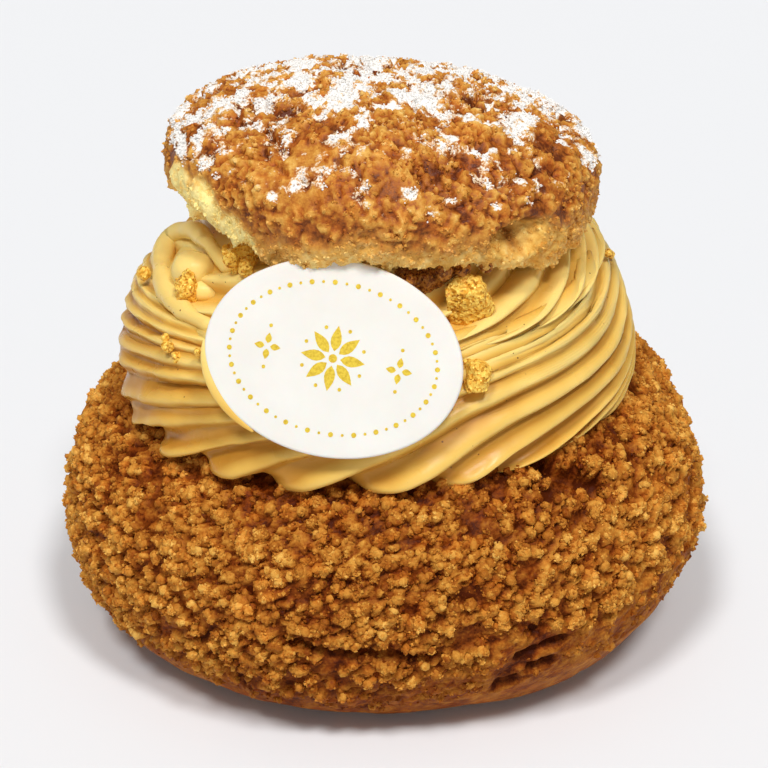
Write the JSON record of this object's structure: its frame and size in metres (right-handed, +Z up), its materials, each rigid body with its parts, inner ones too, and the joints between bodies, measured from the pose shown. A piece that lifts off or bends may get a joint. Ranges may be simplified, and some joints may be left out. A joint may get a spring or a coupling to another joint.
{
  "type": "paris brest pastry",
  "caption": "Individual round choux pastry: a crumble-crusted base, a piped praline cream swirl, a sugar-dusted lid, an oval plaque and praline nuggets.",
  "frame": {"origin": "centre of the bun's flat underside, which rests on the plate", "axes": "+Z up through the bun and its lid, -Y towards the front with the plaque"},
  "size_m": [0.0794, 0.0739, 0.0699],
  "materials": {
    "baked_crust": "matt baked choux crust under brown craquelin crumbs",
    "praline_cream": "smooth piped praline butter cream with a soft sheen",
    "lid_crust": "matt golden craquelin crust dusted with icing sugar",
    "plaque_white": "smooth white plaque with a soft gloss",
    "gilt_praline": "granular caramel praline brushed with gold",
    "dark_praline": "granular dark caramel praline",
    "icing_sugar": "matt white powder",
    "gold_foil": "bright gold foil print"
  },
  "bodies": {
    "root": {"choux_base": "baked_crust", "cream_swirl": "praline_cream", "choux_lid": "lid_crust", "oval_plaque": "plaque_white", "nugget_front_large": "gilt_praline", "nugget_front_dark": "dark_praline", "nugget_front_low": "gilt_praline", "nugget_left_upper": "gilt_praline", "nugget_left_middle": "gilt_praline"}
  },
  "joints": []
}
